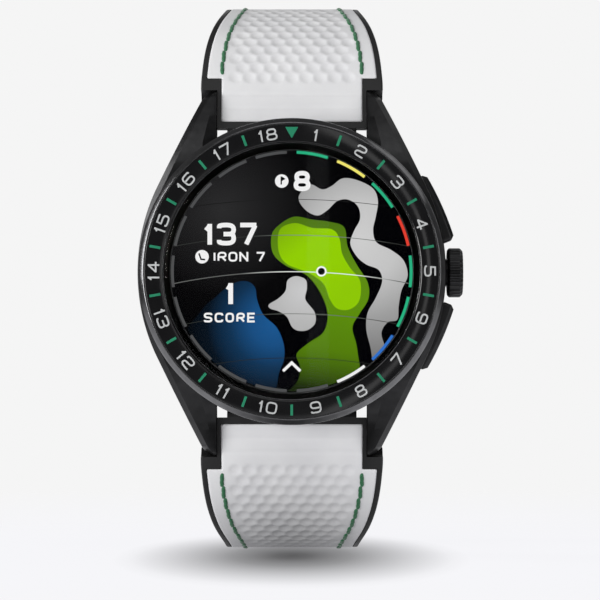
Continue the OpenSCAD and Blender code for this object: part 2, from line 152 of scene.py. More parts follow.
def build(name, *parts, sharp=32):
    """One mesh object from parts of (points, faces), with doubles merged and normals pointing out."""
    points, faces = [], []
    for part_points, part_faces in parts:
        shift = sum(len(p) for p in points)
        points.append(np.array(part_points, float).reshape(-1, 3))
        faces.extend([[i + shift for i in face] for face in part_faces])
    mesh = bpy.data.meshes.new(name)
    mesh.from_pydata(row_points(np.concatenate(points)).tolist(), [], faces)
    obj = add_object(name, mesh)
    bm = bmesh.new()
    bm.from_mesh(mesh)
    bmesh.ops.remove_doubles(bm, verts=bm.verts, dist=0.0005 * MM)
    bmesh.ops.dissolve_degenerate(bm, edges=bm.edges, dist=0.0002 * MM)
    bmesh.ops.recalc_face_normals(bm, faces=bm.faces)
    bm.to_mesh(mesh)
    bm.free()
    shade(mesh, sharp)
    return obj


def shade(mesh, sharp):
    mesh.shade_smooth()
    mesh.set_sharp_from_angle(angle=radians(sharp))


def cut(obj, *cutters, operation="DIFFERENCE", sharp=32):
    """Cuts or joins obj with cutter objects, which are used up."""
    for cutter in cutters:
        change = obj.modifiers.new("cut", "BOOLEAN")
        change.operation = operation
        change.solver = "EXACT"
        change.object = cutter
    bpy.context.view_layer.update()
    shape = obj.evaluated_get(bpy.context.evaluated_depsgraph_get())
    mesh = bpy.data.meshes.new_from_object(shape)
    obj.modifiers.clear()
    old, obj.data = obj.data, mesh
    bpy.data.meshes.remove(old)
    for cutter in cutters:
        bpy.data.objects.remove(cutter)
    shade(mesh, sharp)


def loft(rings, closed=False, open_rings=False, caps=True):
    """Quads between rings of equal length. A closed loft joins its last ring to its first."""
    rings = np.array(rings, float)
    count, size = rings.shape[:2]
    faces = []
    for i in range(count if closed else count - 1):
        k = (i + 1) % count
        for j in range(size - 1 if open_rings else size):
            m = (j + 1) % size
            faces.append([i * size + j, i * size + m, k * size + m, k * size + j])
    if caps and not closed and not open_rings:
        faces.append(list(range(size))[::-1])
        faces.append([(count - 1) * size + j for j in range(size)])
    return rings.reshape(-1, 3), faces


def revolve(profile, segments=256, axis="z"):
    """A profile of (radius, height) turned about the z or x axis. A profile off the axis is a ring."""
    turn = np.arange(segments) * 2 * pi / segments
    rings = []
    for radius, height in profile:
        a, b = radius * np.cos(turn), radius * np.sin(turn)
        flat = np.full(segments, float(height))
        rings.append(np.column_stack([a, b, flat] if axis == "z" else [flat, a, b]))
    return loft(rings, closed=min(r for r, _ in profile) > 0, caps=False)


def rounded(outline, radius, steps=4, closed=True):
    """Rounds the corners of an outline. The radius is one number, or one for each corner."""
    outline = np.array(outline, float)
    count = len(outline)
    radii = np.broadcast_to(np.array(radius, float), count)
    made = []
    for i, corner in enumerate(outline):
        if radii[i] <= 0 or (not closed and i in (0, count - 1)):
            made.append(corner)
            continue
        before, after = outline[i - 1] - corner, outline[(i + 1) % count] - corner
        reach = [min(radii[i], 0.48 * np.linalg.norm(side)) for side in (before, after)]
        start = corner + before / np.linalg.norm(before) * reach[0]
        end = corner + after / np.linalg.norm(after) * reach[1]
        for t in np.linspace(0, 1, steps + 1):
            made.append((1 - t) ** 2 * start + 2 * t * (1 - t) * corner + t**2 * end)
    return np.array(made)


def prism(outline, z0, z1, plane="xy"):
    """An outline drawn in the xy or yz plane, pushed out along the axis that is left."""
    outline = np.array(outline, float)
    rings = []
    for z in (z0, z1):
        flat = np.full(len(outline), float(z))
        columns = [outline[:, 0], outline[:, 1], flat] if plane == "xy" else [flat, *outline.T]
        rings.append(np.column_stack(columns))
    return loft(rings)


def mitres(line, least, closed=True):
    """Normals to the left of a line, longer at its corners. The least limits them at sharp ones."""
    before = line - np.roll(line, 1, axis=0)
    after = np.roll(line, -1, axis=0) - line
    if not closed:
        before[0], after[-1] = after[0], before[-1]
    mitre = 0
    for edge in (before, after):
        edge = edge / np.linalg.norm(edge, axis=1)[:, None]
        mitre = mitre + np.column_stack([-edge[:, 1], edge[:, 0]])
    return mitre * (2 / np.maximum((mitre**2).sum(axis=1), least))[:, None]


def inset(outline, amount):
    """Moves a counter-clockwise outline inwards."""
    outline = np.array(outline, float)
    return outline + mitres(outline, 0.5) * amount


def slab(outline, z0, z1, edge, steps=3):
    """A plate with rounded edges, from a counter-clockwise outline."""
    rings = []
    turns = np.linspace(0, pi / 2, steps + 1)
    for turn in turns:
        rings.append((edge * (1 - sin(turn)), z0 + edge * (1 - cos(turn))))
    for turn in turns[::-1]:
        rings.append((edge * (1 - sin(turn)), z1 - edge * (1 - cos(turn))))
    made = []
    for amount, z in rings:
        ring = inset(outline, amount)
        made.append(np.column_stack([ring, np.full(len(ring), z)]))
    return loft(made)


def turned(part, angle, centre=(0, 0, 0), axis="z"):
    """A part turned by degrees about an axis through a centre."""
    points, faces = part
    points = np.array(points, float) - centre
    c, s = cos(radians(angle)), sin(radians(angle))
    a, b = {"z": (0, 1), "x": (1, 2), "y": (2, 0)}[axis]
    made = points.copy()
    made[:, a] = points[:, a] * c - points[:, b] * s
    made[:, b] = points[:, a] * s + points[:, b] * c
    return made + centre, faces


def moved(part, offset):
    return np.array(part[0], float) + np.array(offset, float), part[1]


def mirrored(part, axis):
    """The part mirrored in the plane across an axis, with its faces turned round."""
    points = np.array(part[0], float).copy()
    points[:, "xyz".index(axis)] *= -1
    return points, [face[::-1] for face in part[1]]


def rectangle(low, high):
    return [(low[0], low[1]), (high[0], low[1]), (high[0], high[1]), (low[0], high[1])]


def box_part(low, high):
    return prism(rectangle(low, high), low[2], high[2])


def circle(radius, count=48, centre=(0, 0), start=0.0, stop=360.0):
    whole = stop - start >= 360
    turn = np.radians(np.linspace(start, stop, count + 1)[: count if whole else count + 1])
    return np.column_stack([centre[0] + radius * np.cos(turn), centre[1] + radius * np.sin(turn)])


def on_axis(part, angle):
    """A part drawn with x along a control's axis, put in its place at an angle from 3 o'clock."""
    return turned(moved(part, (0, 0, CONTROL_Z)), angle)


# ---- materials ----


def linear(*srgb):
    """An 8-bit display colour as the renderer's linear colour."""
    made = [c / 255 for c in srgb]
    return tuple(c / 12.92 if c <= 0.04045 else ((c + 0.055) / 1.055) ** 2.4 for c in made) + (1,)


def connect(tree, node, inputs):
    """Sets a node's inputs to values, or links them to sockets or to other nodes' first outputs."""
    for key, value in inputs.items():
        if isinstance(value, bpy.types.Node):
            value = value.outputs[0]
        if isinstance(value, bpy.types.NodeSocket):
            tree.links.new(value, node.inputs[key])
        else:
            node.inputs[key].default_value = value


def add_node(tree, kind, inputs, **settings):
    made = tree.nodes.new("ShaderNode" + kind)
    for key, value in settings.items():
        setattr(made, key, value)
    connect(tree, made, inputs)
    return made


MATERIALS = {}


class Finish:
    """A Principled material whose nodes read the piece's own coordinates in metres."""

    def __init__(self, name, colour, **inputs):
        self.material = bpy.data.materials.new(name)
        MATERIALS[name] = self.material
        self.material.use_nodes = True
        self.tree = self.material.node_tree
        self.shader = self.tree.nodes["Principled BSDF"]
        self.place = self.node("TexCoord", {}).outputs["Object"]
        self.set(Base_Color=colour, **inputs)

    def set(self, **inputs):
        connect(self.tree, self.shader, {key.replace("_", " "): value for key, value in inputs.items()})

    def node(self, kind, inputs, **settings):
        return add_node(self.tree, kind, inputs, **settings)

    def stretched(self, stretch):
        """The piece's coordinates stretched along the frame's axes."""
        return self.node("Mapping", {"Scale": stretch, "Vector": self.place})

    def noise(self, size_mm, detail, stretch=(1, 1, 1)):
        inputs = {"Scale": 1 / (size_mm * MM), "Detail": detail, "Vector": self.stretched(stretch)}
        return self.node("TexNoise", inputs)

    def ramp(self, value, *stops):
        made = self.node("ValToRGB", {"Fac": value})
        elements = made.color_ramp.elements
        while len(elements) < len(stops):
            elements.new(0.5)
        for element, (position, colour) in zip(elements, stops):
            element.position = position
            element.color = colour
        return made

    def span(self, value, low, high, to_low, to_high):
        limits = {"From Min": low, "From Max": high, "To Min": to_low, "To Max": to_high}
        return self.node("MapRange", {"Value": value, **limits})

    def vary_roughness(self, value, low, high):
        self.set(Roughness=self.span(value, 0.3, 0.7, low, high))

    def vary_colour(self, value, dark, light):
        self.set(Base_Color=self.ramp(value, (0.3, dark), (0.7, light)))

    def bump(self, value, depth_mm, strength):
        inputs = {"Distance": depth_mm * MM, "Strength": strength, "Height": value}
        self.set(Normal=self.node("Bump", inputs))


def grey(value, hue=(1, 1, 1.03)):
    return tuple(value * part for part in hue) + (1,)


def grained(name, colour, shades, polish, relief, **inputs):
    """A finish with noise in its colour, polish and surface: two amounts of each, then its noise."""
    made = Finish(name, colour, **inputs)
    made.vary_colour(made.noise(*shades[2:]), *shades[:2])
    made.vary_roughness(made.noise(*polish[2:]), *polish[:2])
    made.bump(made.noise(*relief[2:]), *relief[:2])


def coated_steel(name, level, rough, spread=0.06, grain=0.006, stretch=(1, 1, 1), hue=(1, 1, 1.03)):
    """Steel under a hard black or bare finish, with a fine grain and uneven polish."""
    grained(name, grey(level), (grey(level * 0.88, hue), grey(level * 1.12, hue), 1.2, 5),
            (rough - spread, rough + spread, 6, 4), (grain, 0.35, 0.09, 2, stretch),
            Metallic=1.0, Roughness=rough)


def rubber(name, dark, light, rough):
    grained(name, grey(light), (grey(dark), grey(light), 7, 4), (rough - 0.05, rough + 0.07, 2.5, 3),
            (0.01, 0.5, 0.14, 3), Roughness=rough, Specular_IOR_Level=0.35)


def plastic(name, colour, rough):
    darker = tuple(part * 0.85 for part in colour[:3]) + (1,)
    grained(name, colour, (darker, colour, 3, 4), (rough * 0.85, rough * 1.15, 1.5, 3),
            (0.004, 0.4, 0.12, 2), Roughness=rough)


def board_finish():
    """Green solder mask with a faint grid of tracks."""
    made = Finish("board_green", (0.02, 0.16, 0.07, 1), Roughness=0.35)
    turn = made.node("Mapping", {"Rotation": (pi / 2, 0, 0), "Vector": made.place})
    tracks = made.node("TexBrick", {
        "Scale": 420, "Mortar Size": 0.015, "Vector": turn, "Color1": (0.02, 0.17, 0.07, 1),
        "Color2": (0.015, 0.12, 0.05, 1), "Mortar": (0.06, 0.28, 0.12, 1)})
    made.set(Base_Color=tracks)
    made.bump(tracks.outputs["Fac"], 0.02, 0.3)


def glass_finishes():
    """The clear crystal, and the sensor's dark window, which hints at what lies below."""
    clear = Finish("crystal_glass", (1, 1, 1, 1), Roughness=0.0, Transmission_Weight=1.0, IOR=1.17)
    clear.bump(clear.noise(9, 1), 0.002, 0.02)
    dark = Finish("window_glass", (0.012, 0.012, 0.016, 1), Roughness=0.06, Coat_Weight=0.6,
                  Coat_Roughness=0.03)
    dark.vary_colour(dark.noise(4, 3), (0.008, 0.008, 0.012, 1), (0.02, 0.02, 0.026, 1))


def thread_finish():
    """Green thread with one fine noise that bumps its surface and paints its hollows darker and its crests
    lighter: painted shade and highlight.
    """
    made = Finish("thread_green", (0.012, 0.16, 0.06, 1), Roughness=0.6, Sheen_Weight=0.35,
                  Sheen_Roughness=0.4)
    relief_and_painted_shade = made.noise(0.06, 4, (1, 1, 0.35))
    # Painted shade and highlight: the noise that bumps the thread also darkens its colour in the hollows
    # and lightens it on the crests.
    made.vary_colour(relief_and_painted_shade, linear(11, 64, 34), linear(50, 126, 82))
    made.bump(relief_and_painted_shade, 0.02, 0.7)


def glow(name, *stops, line=None, centre=None, reach=1.0, start=0.0):
    """A lit patch of the display. Its colours run along a line, or out from a centre, in millimetres."""
    made = Finish(name, (0, 0, 0, 1), Roughness=0.4, Emission_Strength=1.0, Specular_IOR_Level=0.0)
    if line is None and centre is None:
        made.set(Emission_Color=stops[0])
        return
    origin = (line[0], 0, line[1]) if line else tuple(row_points([(*centre, 12.7)])[0])
    kind = "DOT_PRODUCT" if line else "DISTANCE"
    reader = made.node("VectorMath", {0: made.place, 1: origin}, operation=kind)
    share = made.span(reader.outputs["Value"], start * MM, (start + reach) * MM, 0, 1)
    spaced = [(i / (len(stops) - 1), colour) for i, colour in enumerate(stops)]
    made.set(Emission_Color=made.ramp(share, *spaced))


coated_steel("case_black", 0.036, 0.34, stretch=(1, 1, 0.12))
coated_steel("bezel_black", 0.16, 0.16, 0.03, 0.002)
coated_steel("back_black", 0.055, 0.4)
coated_steel("clasp_black", 0.075, 0.27, stretch=(0.12, 1, 1))
coated_steel("copper_film", 0.4, 0.35, hue=(1.3, 0.68, 0.35))
coated_steel("cell_grey", 0.42, 0.38)
coated_steel("bare_steel", 0.55, 0.28)
coated_steel("spring_steel", 0.5, 0.2)
coated_steel("gold_plate", 0.7, 0.2, hue=(1.15, 0.8, 0.32))
grained("ceramic_black", (0.003, 0.003, 0.0032, 1),
        ((0.0025, 0.0025, 0.003, 1), (0.004, 0.004, 0.0045, 1), 3, 4),
        (0.055, 0.085, 5, 4), (0.002, 0.25, 0.08, 2), Roughness=0.07)
grained("strap_white", linear(226, 226, 227), (linear(219, 219, 221), linear(229, 229, 230), 8, 4),
        (0.42, 0.58, 1.1, 3), (0.008, 0.5, 0.11, 3), Roughness=0.5, Specular_IOR_Level=0.4)
rubber("strap_black", 0.008, 0.014, 0.42)
rubber("gasket_rubber", 0.02, 0.035, 0.6)
plastic("lacquer_green", linear(22, 128, 92), 0.35)
plastic("lacquer_grey", linear(186, 188, 188), 0.4)
plastic("inner_plastic", (0.05, 0.055, 0.06, 1), 0.55)
glow("display_black", linear(42, 42, 43), linear(27, 27, 28), linear(4, 4, 5), linear(0, 0, 1),
     centre=(-10, 9), reach=19)
board_finish()
glass_finishes()
thread_finish()


def dress(obj, finish, body, replaces=None):
    """Gives a piece its material, its body and the CAD node that it stands for."""
    obj.data.materials.clear()
    obj.data.materials.append(MATERIALS[finish])
    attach(obj, body)
    if replaces:
        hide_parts(replaces)


# ---- case middle ----


def lug_top(y):
    """Height of the case's top along y: flat under the bezel, then curving down to the lug's tip."""
    y = abs(y)
    knots_y = [0, 14, 15.8, 17.5, 19, 20.5, 22, 23.2, 24.4, 25.52]
    knots_z = [CASE_TOP, CASE_TOP, 11.2, 10.8, 10.3, 9.7, 8.95, 8.1, 7.2, 6.21]
    if y < knots_y[-1]:
        return float(np.interp(y, knots_y, knots_z))
    return BAR_Z + sqrt(max(0, LUG_TIP_R**2 - (y - BAR_Y) ** 2))


def lug_bottom(y):
    y = abs(y)
    if y < BAR_Y:
        return float(np.interp(y, [WALL_Y, BAR_Y], [CASE_BOTTOM, BAR_Z - LUG_TIP_R]))
    return BAR_Z - sqrt(max(0, LUG_TIP_R**2 - (y - BAR_Y) ** 2))


def flank(y):
    """Half the case's width along y: a long curve, then the lug's straight side and its tip."""
    y = abs(y)
    if y < EDGE_Y:
        return sqrt(FLANK_R**2 - y**2) - FLANK_X
    return float(np.interp(y, [EDGE_Y, TIP_CORNER[1], LUG_END], [EDGE_X, TIP_CORNER[0], TIP_X]))


def side_rail():
    """The flank and both lugs at 3 o'clock, as a loft of sections along y."""
    bevel = 0.9
    facet_drop = 1.0
    tip_turns = np.radians(np.linspace(37, 90, 14))
    ends = BAR_Y + LUG_TIP_R * np.sin(tip_turns)
    half = np.concatenate([np.linspace(0, EDGE_Y, 24), np.linspace(EDGE_Y, 16.4, 8)[1:],
                           np.linspace(16.6, BAR_Y + 2.1, 24), ends])
    stations = np.concatenate([-half[:0:-1], half])
    rings = []
    for y in stations:
        outer, top, bottom = flank(y), lug_top(y), lug_bottom(y)
        height = top - bottom
        edge = min(bevel, height * 0.3)
        foot = min(0.6, height * 0.2)
        depth = abs(y)
        inner = LUG_X if depth >= 16.5 else sqrt(20**2 - depth**2)
        share = np.clip((LUG_END - depth) / (LUG_END - WALL_Y), 0, 1) if depth >= 16.5 else 1
        ridge = min(inner + 0.03 + 1.9 * share, outer - edge - 0.05)
        drop = min(facet_drop * share, height * 0.3) if depth >= 16.5 else 0.0
        ring = [(inner, bottom), (inner, top - drop), (ridge, top), (outer - edge, top)]
        ring += [(outer - edge * 0.04, top - edge * 0.96), (outer, top - edge * 1.12)]
        ring += [(outer, bottom + foot), (outer - foot * 0.3, bottom + foot * 0.3), (outer - foot, bottom)]
        rings.append([(x, y, z) for x, z in ring])
    return loft(rings)


def collar():
    """The ring of the case round its hollow, with flat walls between the lugs."""
    segments = 360
    rings = []
    for i in range(segments):
        turn = 2 * pi * i / segments
        c, s = cos(turn), sin(turn)
        wall = WALL_Y / max(abs(s), 1e-6)
        base = min(22.6, wall) if abs(s) > 0.8 else 21.3
        upper = min(22.0, wall) if abs(s) > 0.8 else 21.3
        section = [(CAVITY_R, CASE_BOTTOM), (base - 0.3, CASE_BOTTOM), (base, CASE_BOTTOM + 0.3)]
        section += [(base, 9.4), (upper, 9.9), (upper, CASE_TOP), (CAVITY_R, CASE_TOP)]
        rings.append([(r * c, r * s, z) for r, z in section])
    return loft(rings, closed=True)


def bore(radius, start, stop, angle=0):
    """A round cutter along a control's axis, at an angle from 3 o'clock."""
    return on_axis(prism(circle(radius), start, stop, "yz"), angle)


def case_middle():
    rail = side_rail()
    case = build("case", collar())
    cut(case, build("rail_right", rail), build("rail_left", mirrored(rail, "x")), operation="UNION")
    crown_pocket, crown_tube, pusher_tube, pusher_stem, pin_hole = 4, 2.42, 2.05, 1.5, 0.56
    cutters = [bore(crown_pocket, CASE_HALF - 0.6, 30), bore(crown_tube, 15, 30)]
    long, tall = PUSHER_LENGTH / 2 + 0.2, PUSHER_HEIGHT / 2 + 0.2
    pocket = rounded(rectangle((-long, -tall), (long, tall)), 0.5)
    for angle in (-PUSHER_ANGLE, PUSHER_ANGLE):
        cutters += [on_axis(prism(pocket, 21.4, 27, "yz"), angle),
                    bore(pusher_tube, 19.9, 27, angle), bore(pusher_stem, 15, 27, angle)]
    for y in (-BAR_Y, BAR_Y):
        for side in (-1, 1):
            cutters.append(prism(circle(pin_hole, 24, (y, BAR_Z)), side * 10.6, side * 12.1, "yz"))
    for part in cutters:
        cut(case, build("cutter", part))
    shade(case.data, 24)
    dress(case, "case_black", "case", replaces="case_middle")


# ---- bezel and crystal ----

# Piece, finish, CAD node, segments, sharp angle, and a profile of (radius, height, corner radius).
TURNED_PIECES = [
    ("bezel", "bezel_black", "bezel_ring", 320, 40,
     [(17.6, CASE_TOP, 0), (BEZEL_R - 0.12, CASE_TOP, 0.05), (BEZEL_R, CASE_TOP + 0.12, 0.05),
      (BEZEL_R, 12.95, 0.12), (22.07, 13.35, 0.07), (21.6, 14.0, 0.07), (21.4, 14.0, 0.03),
      (21.4, 13.3, 0), (18.62, 13.3, 0), (18.62, 12.3, 0), (17.6, 12.3, 0)]),
    ("bezel_insert_ring", "ceramic_black", "bezel_insert", 320, 40,
     [(18.7, 13.3, 0), (21.35, 13.3, 0), (21.35, 14.1, 0.04), (21.3, 14.15, 0.04),
      (18.85, 14.15, 0.08), (18.7, 14.05, 0.08)]),
    ("crystal_dome", "crystal_glass", "crystal", 256, 30,
     [(0, 12.92, 0), (17.6, 12.92, 0), (17.6, 12.6, 0), (18.55, 12.6, 0), (18.57, 14.1, 0),
      (18.5, 14.2, 0), (18.22, 14.48, 0), (18.1, 14.5, 0), (0, 14.5, 0)])]


def turned_pieces():
    for name, finish, node, segments, sharp, profile in TURNED_PIECES:
        table = np.array(profile)
        shape = rounded(table[:, :2], table[:, 2], 3)
        piece = build(name, revolve(shape, segments), sharp=sharp)
        dress(piece, finish, "case", replaces=node)


# Letters as strokes in a unit square, from its lower left to its upper right corner.
LL, LR, UR, UL = (0, 0), (1, 0), (1, 1), (0, 1)
GLYPHS = {
    "0": [[LL, LR, UR, UL, LL]],
    "1": [[(0.66, 1.06), (0.66, -0.08)], [(0.7, 0.98), (0.02, 0.7)]],
    "2": [[(0, 0.76), UL, UR, (1, 0.5), (0, 0.46), LL, LR]],
    "3": [[(0, 0.82), UL, UR, (1, 0.5), (0.3, 0.5)], [(0.6, 0.5), (1, 0.5), LR, LL, (0, 0.18)]],
    "4": [[(0.72, -0.08), (0.72, 1.06)], [(0.72, 1), (0, 0.28)], [(-0.06, 0.28), (1.06, 0.28)]],
    "5": [[(0, 0.2), LL, LR, (1, 0.58), (0.02, 0.58)], [(0.06, 0.52), (0.1, 1), (0.98, 1)]],
    "6": [[(1, 0.84), UR, UL, LL, LR, (1, 0.56), (0.02, 0.56)]],
    "7": [[(-0.06, 1), (1.06, 1)], [(0.98, 0.98), (0.36, -0.06)]],
    "8": [[LL, LR, (1, 0.51), (0, 0.51), LL],
          [(0.06, 0.51), (0.94, 0.51), (0.94, 1), (0.06, 1), (0.06, 0.51)]],
    "9": [[(0, 0.16), LL, LR, UR, UL, (0, 0.44), (0.98, 0.44)]],
    "I": [[(0.5, 0), (0.5, 1)]],
    "R": [[LL, UL, UR, (1, 0.46), (0, 0.46)], [(0.5, 0.46), (1.02, 0)]],
    "N": [[(0, -0.1), (0, 1.1)], [UL, LR], [(1, -0.1), (1, 1.1)]],
    "S": [[(1, 0.82), UR, UL, (0, 0.52), (1, 0.48), LR, LL, (0, 0.18)]],
    "C": [[(1, 0.76), UR, UL, LL, LR, (1, 0.24)]],
    "E": [[UR, UL, LL, LR], [(0, 0.5), (0.9, 0.5)]],
}
GLYPHS["O"] = GLYPHS["0"]
SHARP_CORNERS = {"1", "4", "7", "N", "E", "I"}
SHARP_STROKES = {("5", 1)}


def ribbon(line, width, z0, z1):
    """A flat band of even width along a line, closed if the line ends where it starts."""
    line = np.array(line, float)
    closed = np.allclose(line[0], line[-1])
    if closed:
        line = line[:-1]
    rings = []
    for point, side in zip(line, mitres(line, 1.0, closed) * width / 2):
        left, right = point + side, point - side
        rings.append([(*left, z1), (*right, z1), (*right, z0), (*left, z0)])
    return loft(rings, closed=closed)


def lettering(text, height, width, gap, stroke, low, high, centre=(0, 0), thin_one=0.45):
    """The strokes of a line of text, centred on a point. Crossing strokes lie a hair apart."""
    widths = [width * {"1": thin_one, "I": 0.24, " ": 0.45}.get(c, 1) for c in text]
    parts = []
    left = centre[0] - (sum(widths) + gap * (len(text) - 1)) / 2
    for letter, wide in zip(text, widths):
        for index, line in enumerate(GLYPHS.get(letter, [])):
            sharp = letter in SHARP_CORNERS or (letter, index) in SHARP_STROKES
            radius = 0 if sharp else 0.3 * height
            spots = [(left + stroke / 2 + x * (wide - stroke),
                      centre[1] - height / 2 + stroke / 2 + y * (height - stroke)) for x, y in line]
            if line[0] == line[-1]:
                spots = rounded(spots[:-1], radius, 5)
                spots = np.vstack([spots, spots[:1]])
            else:
                spots = rounded(spots, radius, 5, closed=False)
            parts.append(ribbon(spots, stroke, low, high + 0.003 * index))
        left += wide + gap
    return parts


def place_on_ring(parts, angle, radius, tops_out):
    """Puts text drawn at the origin on the bezel, at a clockwise angle from 12 o'clock."""
    turn = -angle if tops_out else 180 - angle
    spot = (radius * sin(radians(angle)), radius * cos(radians(angle)), 0)
    return [moved(turned(part, turn), spot) for part in parts]


def bezel_markings():
    """Green bars and a triangle, and the hole numbers 1 to 18 between them."""
    low, high, edge, holes, radius = 14.15, 14.19, 0.01, 18, 20.1
    bar = slab(rounded(rectangle((-0.19, -0.8), (0.19, 0.8)), 0.05, 2), low, high, edge, 1)
    bars = []
    for step in range(1, holes):
        bars += place_on_ring([bar], 20 * step, radius, True)
    pip = rounded([(0, -0.85), (0.95, 0.8), (-0.95, 0.8)], 0.12, 3)
    bars.append(moved(slab(pip, low, high, edge, 1), (0, radius, 0)))
    dress(build("bezel_bars", *bars), "lacquer_green", "case", replaces="bezel_markings")
    numerals = []
    for number in range(1, holes + 1):
        angle = 20 * number - 10
        parts = lettering(str(number), 1.72, 1.6, 0.42, 0.24, low, high)
        numerals += place_on_ring(parts, angle, radius - 0.08, not 100 < angle < 260)
    dress(build("bezel_numerals", *numerals), "lacquer_grey", "case")


# ---- display ----

DISPLAY_R = 17.35


def layer(level):
    """Bottom and top of one of the display's thin lit layers."""
    low = 12.6 + 0.02 * level
    return low, low + 0.01


def closed_curve(points, steps=8):
    """A smooth closed line through points, kept inside the display."""
    p = np.array(points, float)
    made = []
    for i in range(len(p)):
        a, b, c, d = p[i - 1], p[i], p[(i + 1) % len(p)], p[(i + 2) % len(p)]
        for t in np.arange(steps) / steps:
            made.append(0.5 * (2 * b + (c - a) * t + (2 * a - 5 * b + 4 * c - d) * t**2
                               + (3 * b - a - 3 * c + d) * t**3))
    made = np.array(made)
    made /= np.maximum(np.linalg.norm(made, axis=1) / DISPLAY_R, 1)[:, None]
    return made[np.linalg.norm(made - np.roll(made, 1, axis=0), axis=1) > 0.02]


FAIRWAY = [(-3, 4.5), (-2.4, 6.2), (0.2, 7.9), (3, 7.5), (5.4, 7.2), (7.6, 6.4), (8.1, 3.6), (9.4, 1),
           (11, -1.6), (11.1, -4), (9.8, -6.2), (8.8, -8.2), (9.5, -11.4), (9.6, -17), (4, -19),
           (-0.8, -18.4), (0.9, -15.8), (1.2, -13.8), (0.7, -12), (2.4, -10.4), (4.6, -8.8),
           (5.2, -6.2), (4.2, -3.2), (2.2, -0.6), (-0.8, 0.8), (-2.6, 2.4)]
GREEN = [(-2, 5), (-1.4, 6.4), (0.6, 7), (3, 6.3), (5.8, 6.1), (6.9, 4.8), (7.3, 2.6), (8.4, 0.6),
         (9.9, -1.4), (9.8, -4.2), (8.4, -5.5), (6.6, -5.4), (5.5, -4), (4.6, -1.8), (2.4, -0.2),
         (-0.6, 1), (-1.8, 2.6)]
PATH = [(1, 10.8), (1.9, 9), (3.7, 8.1), (5.2, 8.9), (6.6, 10.2), (8.2, 10.4), (9.6, 9.4), (9.9, 7.6),
        (9, 5.8), (8.5, 4), (9.4, 2.2), (10.8, 1), (12.6, 0.2), (13.1, -1.5), (12.2, -3.8),
        (11, -6), (10.8, -8.4), (11.4, -11), (12, -13.6), (13.6, -11.8), (13, -9), (13.9, -7.4),
        (15.3, -7), (15.5, -5), (15.9, -2.8), (16.8, -0.6), (16.2, 1.6), (14.4, 3.1), (12.3, 4.2),
        (11.8, 6), (12.2, 8), (12.5, 10.2), (11.8, 12), (9.6, 13.2), (7.4, 13.5), (5.8, 12.4),
        (4.4, 11.9), (2.6, 12.6)]
BUNKER = [(-3.3, -4.8), (-1.9, -3.9), (-0.9, -2.8), (-0.6, -1.3), (0.6, -0.7), (2, -1.2), (2.2, -2.5),
          (2, -4.1), (3.3, -5.9), (3.4, -7.5), (2.3, -8.5), (0.9, -8.6), (0, -8), (-0.7, -6.6),
          (-1.9, -5.8), (-3.1, -5.4)]
LAKE = [(-7.8, -1.5), (-6.3, -1.5), (-5.3, -2.4), (-5, -4.2), (-4.1, -6.3), (-2.2, -8.1), (-1.2, -10.4),
        (-1.1, -12.6), (-1.8, -14.6), (-3.2, -18), (-10, -18), (-16, -11), (-13, -5.6), (-11, -3.7),
        (-9.5, -2.4)]


# Region, outline, layer, colours, and how its colours run.
COURSE = [
    ("map_fairway", FAIRWAY, 1, [(78, 118, 18), (94, 140, 18), (92, 141, 12), (84, 126, 9), (24, 38, 8)],
     {"line": (-0.15, -1), "reach": 24, "start": -7.5}),
    ("map_green", GREEN, 2, [(126, 176, 10), (146, 206, 2), (146, 206, 2), (142, 200, 4)],
     {"line": (0.6, -0.8), "reach": 13, "start": -6}),
    ("map_lake", LAKE, 2, [(27, 88, 146), (24, 78, 130), (15, 50, 82), (6, 18, 30), (2, 4, 6)],
     {"centre": (-2.5, -7.5), "reach": 13}),
    ("map_path", PATH, 3, [(206, 206, 206), (196, 196, 196), (158, 158, 158), (120, 120, 120)],
     {"centre": (10, 4.5), "reach": 17}),
    ("map_bunker", BUNKER, 3, [(202, 202, 203), (184, 184, 184), (168, 168, 168)],
     {"centre": (1.6, -3), "reach": 8})]


def lit(name, parts):
    """A piece of the display in the glow of the same name."""
    dress(build(name, *parts), name, "case")


def course_map():
    for name, points, level, colours, run in COURSE:
        glow(name, *(linear(*colour) for colour in colours), **run)
        lit(name, [prism(closed_curve(points), *layer(level))])


def arc_band(radius, width, start, stop, level, centre=(0, 0), steps=40):
    """A curved bar between two clockwise angles from 12 o'clock, cut off at the display's edge."""
    turns = np.radians(np.linspace(start, stop, steps))
    line = np.column_stack([centre[0] + radius * np.sin(turns), centre[1] + radius * np.cos(turns)])
    line = line[np.linalg.norm(line, axis=1) < DISPLAY_R + 0.4]
    return ribbon(line, width, *layer(level))


def progress_ring():
    """One short bar for each hole round the display's edge."""
    tones = {"green": (40, 178, 128), "yellow": (238, 228, 110), "red": (226, 62, 48),
             "blue": (48, 112, 200), "white": (238, 238, 238), "grey": (78, 79, 80)}
    holes = ["green", "yellow", "green", "red", "green", "green", "blue", "white"] + ["grey"] * 10
    radius, width, reach = 17.3, 0.42, 7.6
    for tone, colour in tones.items():
        middles = [20 * hole + 10 for hole, played in enumerate(holes) if played == tone]
        glow("progress_" + tone, linear(*colour))
        lit("progress_" + tone, [arc_band(radius, width, m - reach, m + reach, 5) for m in middles])


def range_arcs():
    """Faint distance arcs across the map, centred on the tee far below."""
    reach = 85
    arcs = [(0.5, 0.12, (236, 240, 236)), (5.8, 0.09, (126, 132, 126)), (11, 0.08, (58, 60, 60)),
            (-5.6, 0.09, (120, 126, 120)), (-12, 0.08, (96, 102, 96))]
    for i, (rise, width, colour) in enumerate(arcs):
        tone = linear(*colour)
        dim = tuple(c * 0.16 for c in tone[:3]) + (1,)
        glow("map_arc_%d" % i, tone, tone, dim, dim, centre=(4, 0), reach=17)
        lit("map_arc_%d" % i, [arc_band(reach + rise, width, -12.5, 12.5, 4, (0, -reach - 0.55), 60)])


